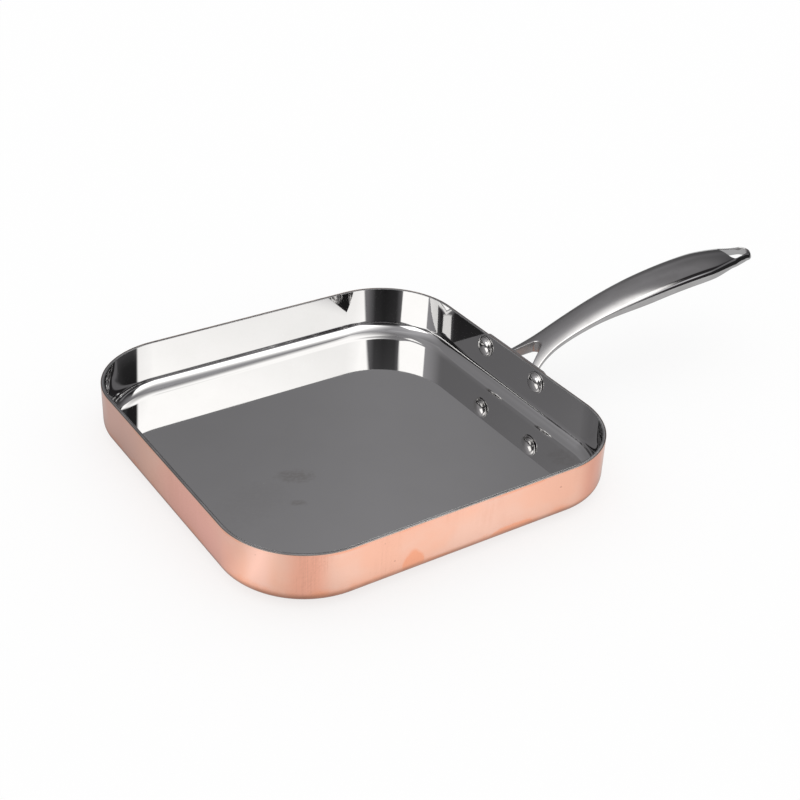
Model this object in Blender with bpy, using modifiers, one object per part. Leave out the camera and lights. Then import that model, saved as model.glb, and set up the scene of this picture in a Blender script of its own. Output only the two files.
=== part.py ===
# Square baking pan with one riveted cast handle.
# Units are metres, +Z is up and the origin is the centre of the underside.
# The handle points along +X. Everything is mirrored about the plane Y = 0.

import math

import bmesh
import bpy
import numpy as np

# Pan body: one clad sheet of three layers, copper outside and steel inside
PAN_SIDE = 0.260
PAN_HEIGHT = 0.036
CORNER_RADIUS = 0.054
BASE_RADIUS = 0.013
COPPER_THICKNESS = 0.0005
CORE_THICKNESS = 0.0012
LINER_THICKNESS = 0.0004
LAYER_GAP = 0.0001
CORNER_STEPS = 12
BASE_STEPS = 6

# Clearance between a piece and the one that it is fastened to
FIT_GAP = 0.0003

# Flange of the handle, which lies against the wall and is round about each rivet
FLANGE_THICKNESS = 0.0025
FLANGE_HEIGHT = 0.0156
FLANGE_BELOW_RIM = 0.0010
FLANGE_END_STEPS = 12

# Rivets, one in each end of the flange
RIVET_SPACING = 0.056
RIVET_SHANK_RADIUS = 0.0032
RIVET_HEAD_RADIUS = 0.0075
RIVET_HEAD_RISE = 0.0031
RIVET_RING_HEIGHT = 0.0006
RIVET_RING_WIDTH = 0.0005
RIVET_TAIL_RADIUS = 0.0055
RIVET_TAIL_RISE = 0.0016
RIVET_STEPS = 32
HEAD_STEPS = 7
TAIL_STEPS = 4

# Handle as seen from above
HANDLE_LENGTH = 0.2146
FOOT_TO_RIVET_TAIL = 0.0035
FOOT_FLARE_POWER = 2.2
NECK_HALF_WIDTH = 0.0098
NECK_FROM_WALL = 0.034
PALM_HALF_WIDTH = 0.0152
PALM_FROM_TIP = 0.0966
GRIP_HALF_WIDTH = 0.0160
GRIP_FROM_TIP = 0.0526
LOOP_HALF_WIDTH = 0.0127
LOOP_FROM_TIP = 0.0246
NOSE_RADIUS = 0.0073
NOSE_SLOPE = math.radians(15)
NOSE_FLAT = 0.0006

# Handle as seen from the side: the line of the crease between its top and its edge
FOOT_BELOW_RIVETS = 0.0037
FOOT_RISE = math.radians(37.4)
FOOT_PULL = 0.0508
HANDLE_RISE = 0.0389
TIP_DIP = math.radians(7.8)
TIP_PULL = 0.0654

# Handle's section: a domed top, upright edges and an underside that is hollowed at the grip
CROWN_RATIO = 0.27
NECK_EDGE = 0.0031
NECK_EDGE_FROM_TIP = 0.1566
GRIP_EDGE = 0.0072
GRIP_EDGE_FROM_TIP = (0.1026, 0.0626)
LOOP_EDGE = 0.0033
LOOP_EDGE_FROM_TIP = 0.0276
TIP_EDGE = 0.0026
HOLLOW_DEPTH = 0.0030
HOLLOW_ENDS_FROM_TIP = (0.1406, 0.0386)
HOLLOW_RAMP = 0.024
HOLLOW_RIM = 0.0032
DOME_STEPS = 16
HANDLE_STATIONS = 40
NOSE_STATIONS = 7

# Opening between the two arms of the handle's foot
FORK_APEX_FROM_WALL = 0.0262
FORK_ARM_WIDTH = 0.0062
FORK_APEX_RADIUS = 0.0032
FORK_FOOT_RADIUS = 0.0022

# Hole at the handle's end, by which the pan is hung up
HANG_HOLE_FROM_TIP = 0.0261
HANG_HOLE_NOSE_WALL = 0.0042
HANG_HOLE_SIDE_WALL = 0.0022
HANG_HOLE_NEAR_RADIUS = 0.0035
HANG_HOLE_NOSE_RADIUS = 0.0046
ROUNDING_STEPS = 6

# Values that follow from those above
WALL_X = PAN_SIDE / 2
SHEET_THICKNESS = COPPER_THICKNESS + CORE_THICKNESS + LINER_THICKNESS + 2 * LAYER_GAP
FLANGE_IN_X = WALL_X + FIT_GAP
FLANGE_OUT_X = FLANGE_IN_X + FLANGE_THICKNESS
RIVET_HEIGHT = PAN_HEIGHT - FLANGE_BELOW_RIM - FLANGE_HEIGHT / 2
RIVET_HOLE_RADIUS = RIVET_SHANK_RADIUS + FIT_GAP
TIP_X = WALL_X + HANDLE_LENGTH
NECK_X = WALL_X + NECK_FROM_WALL
FOOT_HALF_WIDTH = RIVET_SPACING / 2 - RIVET_TAIL_RADIUS - FOOT_TO_RIVET_TAIL
FOOT_CREASE_HEIGHT = RIVET_HEIGHT - FOOT_BELOW_RIVETS
TIP_CREASE_HEIGHT = FOOT_CREASE_HEIGHT + HANDLE_RISE
# How far each cutter reaches to either side of the middle of what it cuts
CUT_REACH = 0.025


def clear_scene():
    for obj in list(bpy.data.objects):
        bpy.data.objects.remove(obj, do_unlink=True)


def make_collection(name):
    collection = bpy.data.collections.new(name)
    bpy.context.scene.collection.children.link(collection)
    return collection


def make_material(name, colour, roughness, metallic=1.0):
    material = bpy.data.materials.new(name)
    material.use_nodes = True
    shader = material.node_tree.nodes["Principled BSDF"]
    shader.inputs["Base Color"].default_value = (*colour, 1.0)
    shader.inputs["Roughness"].default_value = roughness
    shader.inputs["Metallic"].default_value = metallic
    return material


def object_from(bm, name, collection, material=None, smooth_angle=30):
    bmesh.ops.recalc_face_normals(bm, faces=bm.faces[:])
    mesh = bpy.data.meshes.new(name)
    bm.to_mesh(mesh)
    bm.free()
    mesh.shade_smooth()
    mesh.set_sharp_from_angle(angle=math.radians(smooth_angle))
    obj = bpy.data.objects.new(name, mesh)
    collection.objects.link(obj)
    if material:
        mesh.materials.append(material)
    return obj


def make_cutter(obj):
    obj.hide_render = True
    obj.display_type = "WIRE"
    return obj


def combine(obj, other, operation):
    modifier = obj.modifiers.new(f"{operation.lower()} {other.name}", "BOOLEAN")
    modifier.operation = operation
    modifier.solver = "EXACT"
    modifier.object = other


def smooth_through(stations, at):
    """The height at one place of a curve through the stations, which doesn't overshoot them."""
    places, heights = np.array(stations).T
    steps = np.diff(places)
    slopes = np.diff(heights) / steps
    tangents = np.zeros(len(places))
    for i in range(1, len(places) - 1):
        before, after = slopes[i - 1], slopes[i]
        if before * after > 0:
            tangents[i] = 2 * before * after / (before + after)
    at = min(max(at, places[0]), places[-1])
    i = min(int(np.searchsorted(places, at, side="right")) - 1, len(steps) - 1)
    t = (at - places[i]) / steps[i]
    rise = heights[i] * (1 + 2 * t) * (1 - t) ** 2 + heights[i + 1] * t * t * (3 - 2 * t)
    return rise + steps[i] * t * (1 - t) * (tangents[i] * (1 - t) - tangents[i + 1] * t)


def rounded_outline(corners, radii):
    """The outline through the corners, with each one replaced by an arc of its radius."""
    points = []
    for i, corner in enumerate(corners):
        corner = np.array(corner)
        back = np.array(corners[i - 1]) - corner
        ahead = np.array(corners[(i + 1) % len(corners)]) - corner
        back, ahead = back / np.linalg.norm(back), ahead / np.linalg.norm(ahead)
        half_angle = math.acos(float(np.clip(back @ ahead, -1, 1))) / 2
        middle = back + ahead
        centre = corner + middle / np.linalg.norm(middle) * radii[i] / math.sin(half_angle)
        first = corner + back * radii[i] / math.tan(half_angle) - centre
        last = corner + ahead * radii[i] / math.tan(half_angle) - centre
        sweep = math.pi - 2 * half_angle
        for k in range(ROUNDING_STEPS + 1):
            t = k / ROUNDING_STEPS
            blend = math.sin((1 - t) * sweep) * first + math.sin(t * sweep) * last
            points.append(centre + blend / math.sin(sweep))
    return points


def prism(outline, low, high, place):
    """A solid between two copies of the outline. place turns (across, up, along) into x, y, z."""
    bm = bmesh.new()
    face = bm.faces.new([bm.verts.new(place(a, b, low)) for a, b in outline])
    pushed = bmesh.ops.extrude_face_region(bm, geom=[face])
    shift = np.array(place(0, 0, high)) - np.array(place(0, 0, low))
    moved = [v for v in pushed["geom"] if isinstance(v, bmesh.types.BMVert)]
    bmesh.ops.translate(bm, verts=moved, vec=shift)
    return bm


def make_layer(name, inset, thickness, collection, material):
    """One layer of the sheet: an open box with rounded corners, thickened inwards."""
    side = PAN_SIDE - 2 * inset
    height = PAN_HEIGHT - inset
    bm = bmesh.new()
    bmesh.ops.create_cube(bm, size=1.0)
    bmesh.ops.scale(bm, vec=(side, side, height), verts=bm.verts)
    bmesh.ops.translate(bm, vec=(0, 0, inset + height / 2), verts=bm.verts)
    bmesh.ops.delete(bm, geom=[f for f in bm.faces if f.normal.z > 0.5], context="FACES_ONLY")
    upright = [e for e in bm.edges if abs(e.verts[0].co.z - e.verts[1].co.z) > height / 2]
    bmesh.ops.bevel(bm, geom=upright, offset=CORNER_RADIUS - inset, segments=CORNER_STEPS,
                    profile=0.5, affect="EDGES")
    foot = [e for e in bm.edges if all(v.co.z < inset + height / 2 for v in e.verts)]
    bmesh.ops.bevel(bm, geom=foot, offset=BASE_RADIUS - inset, segments=BASE_STEPS,
                    profile=0.5, affect="EDGES")
    obj = object_from(bm, name, collection, material)
    solidify = obj.modifiers.new("sheet", "SOLIDIFY")
    solidify.thickness = thickness
    solidify.offset = -1
    solidify.use_even_offset = True
    solidify.use_quality_normals = True
    return obj


def make_rivet_hole(name, y, collection):
    bm = bmesh.new()
    bmesh.ops.create_cone(bm, cap_ends=True, segments=RIVET_STEPS, radius1=RIVET_HOLE_RADIUS,
                          radius2=RIVET_HOLE_RADIUS, depth=2 * CUT_REACH)
    obj = make_cutter(object_from(bm, name, collection))
    obj.rotation_euler = (0, math.pi / 2, 0)
    obj.location = (WALL_X, y, RIVET_HEIGHT)
    return obj


def rivet_profile():
    """Half of a rivet's outline as radius and place along its axis, which starts at the wall's outside."""
    tail_seat = FLANGE_OUT_X - WALL_X + FIT_GAP
    head_seat = -SHEET_THICKNESS - FIT_GAP
    ring_face = head_seat - RIVET_RING_HEIGHT
    tail = []
    for k in range(TAIL_STEPS + 1):
        turn = (1 - k / TAIL_STEPS) * math.pi / 2
        tail.append((RIVET_TAIL_RADIUS * math.cos(turn),
                     tail_seat + RIVET_TAIL_RISE * math.sin(turn)))
    shank = [(RIVET_SHANK_RADIUS, tail_seat), (RIVET_SHANK_RADIUS, head_seat)]
    ring = [(RIVET_HEAD_RADIUS, head_seat), (RIVET_HEAD_RADIUS, ring_face)]
    dome_radius = RIVET_HEAD_RADIUS - RIVET_RING_WIDTH
    dome = []
    for k in range(HEAD_STEPS + 1):
        turn = k / HEAD_STEPS * math.pi / 2
        dome.append((dome_radius * math.cos(turn), ring_face - RIVET_HEAD_RISE * math.sin(turn)))
    return tail + shank + ring + dome


def make_rivet(name, y, collection, material):
    """A domed head on the liner, a shank through wall and flange, and a low tail outside."""
    bm = bmesh.new()
    verts = [bm.verts.new((radius, 0, along)) for radius, along in rivet_profile()]
    for first, second in zip(verts, verts[1:]):
        bm.edges.new((first, second))
    mesh = bpy.data.meshes.new(name)
    bm.to_mesh(mesh)
    bm.free()
    mesh.materials.append(material)
    obj = bpy.data.objects.new(name, mesh)
    collection.objects.link(obj)
    screw = obj.modifiers.new("turn", "SCREW")
    screw.steps = screw.render_steps = RIVET_STEPS
    screw.use_merge_vertices = True
    screw.merge_threshold = 0.00001
    screw.use_smooth_shade = True
    obj.rotation_euler = (0, math.pi / 2, 0)
    obj.location = (WALL_X, y, RIVET_HEIGHT)
    return obj


def crease_line():
    """The crease's points along the handle: one cubic curve that leaves the flange and levels off."""
    foot = np.array((FLANGE_OUT_X, FOOT_CREASE_HEIGHT))
    tip = np.array((TIP_X, TIP_CREASE_HEIGHT))
    after_foot = foot + FOOT_PULL * np.array((math.cos(FOOT_RISE), math.sin(FOOT_RISE)))
    before_tip = tip + TIP_PULL * np.array((-math.cos(TIP_DIP), math.sin(TIP_DIP)))
    t = np.linspace(0, 1, 4 * HANDLE_STATIONS)[:, None]
    return ((1 - t) ** 3 * foot + 3 * (1 - t) ** 2 * t * after_foot
            + 3 * (1 - t) * t ** 2 * before_tip + t ** 3 * tip)


def half_width(x):
    """Half of the handle's width: a flared foot, a neck, a palm swell and a round nose."""
    nose_centre = TIP_X - NOSE_RADIUS
    nose_joins = nose_centre + NOSE_RADIUS * math.sin(NOSE_SLOPE)
    if x < NECK_X:
        left = min(1.0, (NECK_X - x) / (NECK_X - FLANGE_OUT_X))
        return NECK_HALF_WIDTH + (FOOT_HALF_WIDTH - NECK_HALF_WIDTH) * left ** FOOT_FLARE_POWER
    if x > nose_joins:
        return max(NOSE_FLAT, math.sqrt(max(0.0, NOSE_RADIUS ** 2 - (x - nose_centre) ** 2)))
    return smooth_through([(NECK_X, NECK_HALF_WIDTH),
                           (TIP_X - PALM_FROM_TIP, PALM_HALF_WIDTH),
                           (TIP_X - GRIP_FROM_TIP, GRIP_HALF_WIDTH),
                           (TIP_X - LOOP_FROM_TIP, LOOP_HALF_WIDTH),
                           (nose_joins, NOSE_RADIUS * math.cos(NOSE_SLOPE))], x)


def edge_depth(x):
    """Height of the handle's upright edge, from the crease down to the underside."""
    return smooth_through([(TIP_X - NECK_EDGE_FROM_TIP, NECK_EDGE),
                           (TIP_X - GRIP_EDGE_FROM_TIP[0], GRIP_EDGE),
                           (TIP_X - GRIP_EDGE_FROM_TIP[1], GRIP_EDGE),
                           (TIP_X - LOOP_EDGE_FROM_TIP, LOOP_EDGE),
                           (TIP_X, TIP_EDGE)], x)


def hollow_depth(x):
    """How far the underside is hollowed out between its two rims."""
    start, end = (TIP_X - distance for distance in HOLLOW_ENDS_FROM_TIP)
    return smooth_through([(start, 0.0), (start + HOLLOW_RAMP, HOLLOW_DEPTH),
                           (end - HOLLOW_RAMP, HOLLOW_DEPTH), (end, 0.0)], x)


def handle_section(x, crease_z):
    """The section's outline across the handle, as y and z, from one crease round to the other."""
    width = half_width(x)
    crown = CROWN_RATIO * width
    arc_radius = (width ** 2 + crown ** 2) / (2 * crown)
    arc_half = math.asin(width / arc_radius)
    dome = []
    for k in range(DOME_STEPS + 1):
        turn = arc_half * (1 - 2 * k / DOME_STEPS)
        dome.append((arc_radius * math.sin(turn),
                     crease_z + crown - arc_radius * (1 - math.cos(turn))))
    low = crease_z - edge_depth(x)
    roof = low + hollow_depth(x)
    rim = width - min(HOLLOW_RIM, width / 3)
    shoulder = rim - min(HOLLOW_DEPTH, rim / 3)
    return dome + [(-width, low), (-rim, low), (-shoulder, roof),
                   (shoulder, roof), (rim, low), (width, low)]


def handle_places():
    """Places of the sections along X, close together round the nose."""
    nose_centre = TIP_X - NOSE_RADIUS
    start = FLANGE_OUT_X - FLANGE_THICKNESS / 2
    places = list(np.linspace(start, nose_centre, HANDLE_STATIONS))
    for k in range(1, NOSE_STATIONS + 1):
        places.append(nose_centre + NOSE_RADIUS * math.sin(k / NOSE_STATIONS * math.pi / 2))
    return places


def make_bar(collection, material):
    """The handle's bar, as one loft along X."""
    crease = crease_line()
    bm = bmesh.new()
    rings = []
    for x in handle_places():
        crease_z = float(np.interp(x, crease[:, 0], crease[:, 1]))
        rings.append([bm.verts.new((x, y, z)) for y, z in handle_section(x, crease_z)])
    for first, second in zip(rings, rings[1:]):
        for i in range(len(first)):
            j = (i + 1) % len(first)
            bm.faces.new((first[i], first[j], second[j], second[i]))
    bm.faces.new(rings[0])
    bm.faces.new(rings[-1])
    return object_from(bm, "handle", collection, material)


def flange_outline():
    """The flange's outline, as y and z: half a circle about each rivet."""
    points = []
    for side in (1, -1):
        for k in range(FLANGE_END_STEPS + 1):
            turn = math.pi * (k / FLANGE_END_STEPS - 0.5)
            points.append((side * (RIVET_SPACING / 2 + FLANGE_HEIGHT / 2 * math.cos(turn)),
                           RIVET_HEIGHT + side * FLANGE_HEIGHT / 2 * math.sin(turn)))
    return points


def fork_outline():
    """The opening between the arms, as x and y."""
    foot = FOOT_HALF_WIDTH - FORK_ARM_WIDTH
    corners = [(WALL_X + FORK_APEX_FROM_WALL, 0.0), (FLANGE_OUT_X, foot), (FLANGE_OUT_X, -foot)]
    return rounded_outline(corners, [FORK_APEX_RADIUS, FORK_FOOT_RADIUS, FORK_FOOT_RADIUS])


def hang_hole_outline():
    """The hanging hole, as x and y. Its sides follow the outside of the loop."""
    near, far = TIP_X - HANG_HOLE_FROM_TIP, TIP_X - HANG_HOLE_NOSE_WALL
    near_half = half_width(near) - HANG_HOLE_SIDE_WALL
    far_half = half_width(far) - HANG_HOLE_SIDE_WALL
    corners = [(near, -near_half), (far, -far_half), (far, far_half), (near, near_half)]
    radii = [HANG_HOLE_NEAR_RADIUS, HANG_HOLE_NOSE_RADIUS,
             HANG_HOLE_NOSE_RADIUS, HANG_HOLE_NEAR_RADIUS]
    return rounded_outline(corners, radii)


def make_handle(collection, cutters, material):
    handle = make_bar(collection, material)
    plate = prism(flange_outline(), FLANGE_IN_X, FLANGE_OUT_X, lambda y, z, x: (x, y, z))
    combine(handle, make_cutter(object_from(plate, "flange_plate", cutters)), "UNION")
    for name, outline, middle in (("fork_opening", fork_outline(), FOOT_CREASE_HEIGHT),
                                  ("hanging_hole", hang_hole_outline(), TIP_CREASE_HEIGHT)):
        hole = prism(outline, middle - CUT_REACH, middle + CUT_REACH, lambda x, y, z: (x, y, z))
        combine(handle, make_cutter(object_from(hole, name, cutters)), "DIFFERENCE")
    return handle


def main():
    clear_scene()
    parts = make_collection("square_baking_pan")
    cutters = make_collection("cutters")
    copper = make_material("copper", (0.86, 0.48, 0.36), 0.32)
    aluminium = make_material("aluminium", (0.80, 0.80, 0.80), 0.40)
    steel = make_material("polished steel", (0.62, 0.61, 0.60), 0.08)
    cast_steel = make_material("satin cast steel", (0.55, 0.54, 0.53), 0.28)

    core_inset = COPPER_THICKNESS + LAYER_GAP
    liner_inset = core_inset + CORE_THICKNESS + LAYER_GAP
    layers = [make_layer("copper_shell", 0.0, COPPER_THICKNESS, parts, copper),
              make_layer("aluminium_core", core_inset, CORE_THICKNESS, parts, aluminium),
              make_layer("steel_liner", liner_inset, LINER_THICKNESS, parts, steel)]
    handle = make_handle(parts, cutters, cast_steel)
    for side, y in (("left", RIVET_SPACING / 2), ("right", -RIVET_SPACING / 2)):
        hole = make_rivet_hole(f"rivet_hole_{side}", y, cutters)
        for piece in layers + [handle]:
            combine(piece, hole, "DIFFERENCE")
        make_rivet(f"rivet_{side}", y, parts, steel)


main()
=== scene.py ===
import math

import bmesh
import bpy
import numpy as np
from mathutils import Matrix, Vector


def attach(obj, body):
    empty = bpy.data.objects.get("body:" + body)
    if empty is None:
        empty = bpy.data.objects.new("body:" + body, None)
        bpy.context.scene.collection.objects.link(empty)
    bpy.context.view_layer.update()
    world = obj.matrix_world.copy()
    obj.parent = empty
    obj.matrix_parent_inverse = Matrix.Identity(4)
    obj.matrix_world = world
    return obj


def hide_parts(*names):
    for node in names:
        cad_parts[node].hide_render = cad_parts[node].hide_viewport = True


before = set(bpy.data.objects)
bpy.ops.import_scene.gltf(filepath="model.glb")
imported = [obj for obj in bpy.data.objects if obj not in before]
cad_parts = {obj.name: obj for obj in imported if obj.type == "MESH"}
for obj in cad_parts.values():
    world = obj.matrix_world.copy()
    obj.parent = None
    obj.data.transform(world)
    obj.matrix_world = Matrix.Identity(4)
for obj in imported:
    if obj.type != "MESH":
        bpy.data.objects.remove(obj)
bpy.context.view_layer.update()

# A square baking pan: copper outside, polished steel inside and a riveted cast handle.
# The handle points along +X and the pan stands on Z = 0. Shapes are worked out in millimetres.
mm = 0.001


def placeInScene(name, data):
    obj = bpy.data.objects.new(name, data)
    bpy.context.scene.collection.objects.link(obj)
    return obj


def newPiece(name, verts, faces, normals):
    mesh = bpy.data.meshes.new(name)
    mesh.from_pydata([tuple(v) for v in np.asarray(verts) * mm], [], faces)
    mesh.shade_smooth()
    mesh.normals_split_custom_set_from_vertices([tuple(n) for n in normals])
    mesh.validate(clean_customdata=False)
    return placeInScene(name, mesh)


def smoothThrough(stations, at):
    # heights of a curve through the stations that doesn't overshoot them
    places, heights = np.array(sorted(stations)).T
    steps = np.diff(places)
    slopes = np.diff(heights) / steps
    tangents = np.zeros(len(places))
    for i in range(1, len(places) - 1):
        before, after = slopes[i - 1], slopes[i]
        if before * after > 0:
            tangents[i] = 2 * before * after / (before + after)
    at = np.clip(at, places[0], places[-1])
    i = np.clip(np.searchsorted(places, at, side="right") - 1, 0, len(steps) - 1)
    t = (at - places[i]) / steps[i]
    rise = heights[i] * (1 + 2 * t) * (1 - t) ** 2 + heights[i + 1] * t * t * (3 - 2 * t)
    return rise + steps[i] * t * (1 - t) * (tangents[i] * (1 - t) - tangents[i + 1] * t)


# the clad sheet, drawn layer by layer
pan = {
    "side": 260.0,
    "height": 36.0,
    "cornerRadius": 54.0,
    "footRadius": 13.8,      # the foot turns wide above the base ...
    "heelRadius": 8.5,       # ... and tighter where it meets the wall
    "heelTurn": math.radians(48.4),
    "copper": 0.5,
    "core": 1.2,
    "liner": 0.4,
    "layerGap": 0.1,
    "rimRound": 0.14,        # the softened edges of the cut rim ...
    "rimShare": 0.3,         # ... and their largest share of a layer
    "flatMargin": 1.0,       # the first flat ring of the base, in from the foot
    "coreSunk": 0.08,        # the soft core lies a little lower than the layers beside it
    "cornerSteps": 30,
    "sideSteps": 10,
    "footSteps": 36,
    "wallSteps": 6,
    "rimSteps": 3,
}


def squareRing(inset):
    # one ring of the pan's plan, as points and outward directions
    half = pan["side"] / 2 - inset
    radius = pan["cornerRadius"] - inset
    middle = half - radius
    points, outward = [], []
    for quarter in range(4):
        start = quarter * math.pi / 2
        cx = math.copysign(middle, math.cos(start + math.pi / 4))
        cy = math.copysign(middle, math.sin(start + math.pi / 4))
        for k in range(pan["cornerSteps"] + 1):
            turn = start + k / pan["cornerSteps"] * math.pi / 2
            outward.append((math.cos(turn), math.sin(turn)))
            points.append((cx + radius * math.cos(turn), cy + radius * math.sin(turn)))
        last = np.array(points[-1])
        along = np.array((-outward[-1][1], outward[-1][0]))
        for k in range(1, pan["sideSteps"]):
            points.append(tuple(last + along * 2 * middle * k / pan["sideSteps"]))
            outward.append(outward[-1])
    return np.array(points), np.array(outward)


def layerRings(outer, thick, sunk=0.0):
    # inset, height and normal of each ring, from the underside out, up, over the rim and in
    wide, tight, turnAt = pan["footRadius"], pan["heelRadius"], pan["heelTurn"]
    wideIn = tight + (wide - tight) * math.sin(turnAt)
    tightUp = wide - (wide - tight) * math.cos(turnAt)
    top = pan["height"] - sunk
    inner = outer + thick
    soft = min(pan["rimRound"], thick * pan["rimShare"])
    flat = wideIn + pan["flatMargin"]

    def foot(depth, side):
        rings = []
        for k in range(pan["footSteps"] + 1):
            turn = k / pan["footSteps"] * math.pi / 2
            if turn < turnAt:
                fromX, fromZ, radius = wideIn, wide, wide - depth
            else:
                fromX, fromZ, radius = tight, tightUp, tight - depth
            rings.append((fromX - radius * math.sin(turn), fromZ - radius * math.cos(turn),
                          side * math.sin(turn), -side * math.cos(turn)))
        return rings

    rings = [(flat, outer, 0.0, -1.0)] + foot(outer, 1)
    for k in range(1, pan["wallSteps"]):
        rings.append((outer, tightUp + (top - soft - tightUp) * k / pan["wallSteps"], 1.0, 0.0))
    for k in range(pan["rimSteps"] + 1):
        turn = k / pan["rimSteps"] * math.pi / 2
        rings.append((outer + soft * (1 - math.cos(turn)), top - soft * (1 - math.sin(turn)),
                      math.cos(turn), math.sin(turn)))
    for k in range(pan["rimSteps"] + 1):
        turn = (1 - k / pan["rimSteps"]) * math.pi / 2
        rings.append((inner - soft * (1 - math.cos(turn)), top - soft * (1 - math.sin(turn)),
                      -math.cos(turn), math.sin(turn)))
    for k in range(pan["wallSteps"] - 1, 0, -1):
        rings.append((inner, tightUp + (top - soft - tightUp) * k / pan["wallSteps"], -1.0, 0.0))
    return rings + foot(inner, -1)[::-1] + [(flat, inner, 0.0, 1.0)]


def makeLayer(name, outer, thick, sunk=0.0):
    verts, normals, faces = [], [], []
    for inset, height, out, up in layerRings(outer, thick, sunk):
        points, outward = squareRing(inset)
        verts.extend((x, y, height) for x, y in points)
        normals.extend((out * a, out * b, up) for a, b in outward)
    around = len(points)
    rows = len(verts) // around
    for row in range(rows - 1):
        for i in range(around):
            j = (i + 1) % around
            a, b = row * around, (row + 1) * around
            faces.append((a + i, a + j, b + j, b + i))
    faces.append(tuple(range(around - 1, -1, -1)))
    faces.append(tuple(range((rows - 1) * around, rows * around)))
    return newPiece(name, verts, faces, normals)


coreAt = pan["copper"] + pan["layerGap"]
linerAt = coreAt + pan["core"] + pan["layerGap"]
copperShell = makeLayer("copperShell", 0.0, pan["copper"])
aluminiumCore = makeLayer("aluminiumCore", coreAt, pan["core"], pan["coreSunk"])
steelLiner = makeLayer("steelLiner", linerAt, pan["liner"])
print("sheet made: three layers")


# the cast handle: one smooth form, with a net drawn tight over it
# a list of pairs gives a size along the handle, each as the distance from its tip and the value
grip = {
    "wall": 130.0,           # the pan's outside, where the handle is riveted on
    "tip": 344.6,
    "flangeIn": 130.3,
    "flangeOut": 132.8,
    "flangeHeight": 15.6,
    "flangeEdge": 0.5,
    "filletFlange": 2.2,
    "rivetSpacing": 56.0,
    "rivetHeight": 27.2,
    "rivetHole": 3.5,
    "rivetHoleRound": 0.2,
    "foot": 19.0,            # half width where the arms leave the flange
    "footCrease": 23.5,      # height of the line between back and sides, at the foot and the tip
    "tipCrease": 62.4,
    "footRise": math.radians(37.4),
    "footPull": 50.8,
    "tipDip": math.radians(7.8),
    "tipPull": 65.4,
    "flarePower": 2.2,
    "neckX": 164.0,
    "neckWidth": 10.8,
    "widths": [(96.6, 15.2), (52.6, 16.0), (24.6, 12.4), (13.0, 9.2)],      # half widths
    "noseRadius": 8.1,
    "noseSlope": math.radians(15),
    "leastWidth": 0.6,
    "crown": 0.2685,         # how far the back is domed, as a share of the half width
    "edges": [(186.0, 3.3), (156.6, 3.9), (102.6, 7.2), (62.6, 7.2), (49.0, 7.0), (42.0, 6.5),
              (35.0, 5.7), (27.0, 5.0), (14.0, 5.2), (5.0, 4.8), (0.0, 4.8)],
    "belly": [(184.0, 2.8), (165.0, 2.2), (140.0, 0.0)],     # the neck is fuller along its middle
    "hollow": [(140.6, 0.0), (116.6, 3.0), (62.6, 3.0), (38.6, 0.0)],
    "hollowRim": 3.2,
    "hollowShoulder": 3.4,
    "loopRise": [(34.0, 0.0), (20.0, -0.05), (14.0, 0.1), (7.0, 0.6), (0.0, 1.0)],   # the ring turns up
    "creaseRound": [(212.0, 0.7), (150.0, 1.0), (118.0, 2.2), (82.0, 3.2), (45.0, 3.6), (8.0, 3.6),
                    (0.0, 3.6)],
    "underRound": [(60.0, 1.1), (30.0, 2.1), (8.0, 2.5)],
    "forkApex": 26.2,
    "forkArm": 5.6,
    "forkApexRadius": 4.6,
    "forkFootRadius": 2.2,
    "forkRound": 0.9,
    "holeFromTip": 26.1,
    "holeNoseWall": 3.1,
    "holeSideWall": 3.1,
    "holeNearRadius": 3.5,
    "holeNoseRadius": 4.6,
    "holeRound": 1.1,
    "netStep": 0.5,
    "clearance": 1.5,        # how far the net's grid reaches past the casting
    "smoothRounds": 6,
    "smoothShare": 0.5,
}
farInside = -9.0      # a distance that leaves the form as it is


def creaseTable():
    # the line between back and sides, one curve from the flange to the tip
    foot = np.array((grip["flangeOut"], grip["footCrease"]))
    tip = np.array((grip["tip"], grip["tipCrease"]))
    rise, dip = grip["footRise"], grip["tipDip"]
    afterFoot = foot + grip["footPull"] * np.array((math.cos(rise), math.sin(rise)))
    beforeTip = tip + grip["tipPull"] * np.array((-math.cos(dip), math.sin(dip)))
    t = np.linspace(0, 1, 2000)[:, None]
    return ((1 - t) ** 3 * foot + 3 * (1 - t) ** 2 * t * afterFoot
            + 3 * (1 - t) * t ** 2 * beforeTip + t ** 3 * tip)


crease = creaseTable()
noseCentre = grip["tip"] - grip["noseRadius"]
noseJoins = noseCentre + grip["noseRadius"] * math.sin(grip["noseSlope"])
tableX = np.linspace(grip["wall"], grip["tip"], 4000)


def widthTable():
    x = tableX
    left = np.clip((grip["neckX"] - x) / (grip["neckX"] - grip["flangeOut"]), 0, 1)
    foot = grip["neckWidth"] + (grip["foot"] - grip["neckWidth"]) * left ** grip["flarePower"]
    stations = [(grip["neckX"], grip["neckWidth"])]
    stations += [(grip["tip"] - back, width) for back, width in grip["widths"]]
    stations.append((noseJoins, grip["noseRadius"] * math.cos(grip["noseSlope"])))
    bar = smoothThrough(stations, x)
    nose = np.sqrt(np.maximum(grip["leastWidth"] ** 2, grip["noseRadius"] ** 2 - (x - noseCentre) ** 2))
    return np.where(x < grip["neckX"], foot, np.where(x > noseJoins, nose, bar))


tableWidth = widthTable()
tableSlope = np.gradient(tableWidth, tableX)


def fromTip(pairs, x):
    return smoothThrough([(grip["tip"] - back, value) for back, value in pairs], x)


def roundMax(a, b, radius):
    # where two solids' walls meet outwards, with the edge rounded off
    corner = np.sqrt(np.maximum(a + radius, 0) ** 2 + np.maximum(b + radius, 0) ** 2)
    return np.minimum(-radius, np.maximum(a, b)) + corner


def roundMin(a, b, radius):
    # two solids joined, with a hollow fillet between them
    corner = np.sqrt(np.maximum(radius - a, 0) ** 2 + np.maximum(radius - b, 0) ** 2)
    return np.maximum(radius, np.minimum(a, b)) - corner


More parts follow.
